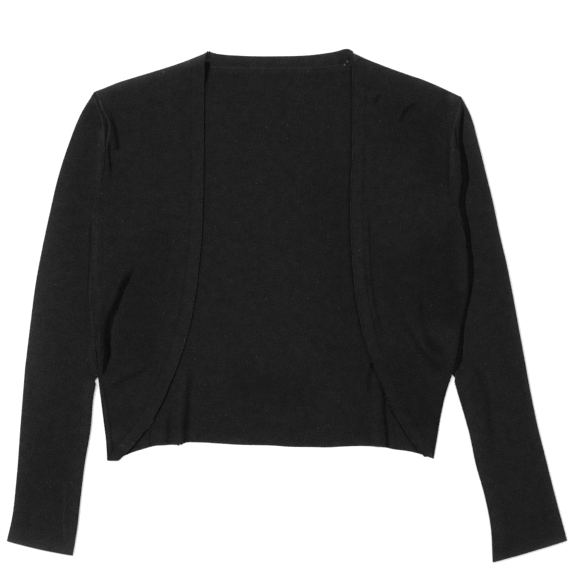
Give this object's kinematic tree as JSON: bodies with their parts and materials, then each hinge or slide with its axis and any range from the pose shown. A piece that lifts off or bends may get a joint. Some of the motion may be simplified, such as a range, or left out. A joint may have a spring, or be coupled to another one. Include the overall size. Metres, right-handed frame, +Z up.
{
  "type": "knitted shrug",
  "caption": "Cropped open-front knitted shrug with long set-in sleeves, curved fronts and narrow bands, laid flat with its front side up.",
  "frame": {"origin": "on the surface that the garment lies on, under the middle of its outline", "axes": "+X across the garment towards the wearer's left sleeve, +Y towards the neck, +Z up from the surface, out of the front side"},
  "size_m": [0.6038, 0.553, 0.0076],
  "materials": {
    "knit": "matte black fine-gauge jersey knit",
    "band_knit": "matte black doubled knit band"
  },
  "bodies": {
    "root": {"back_panel": "knit", "right_front": "knit", "left_front": "knit", "right_sleeve": "knit", "left_sleeve": "knit", "right_front_band": "band_knit", "left_front_band": "band_knit", "back_neck_band": "band_knit"}
  },
  "joints": []
}
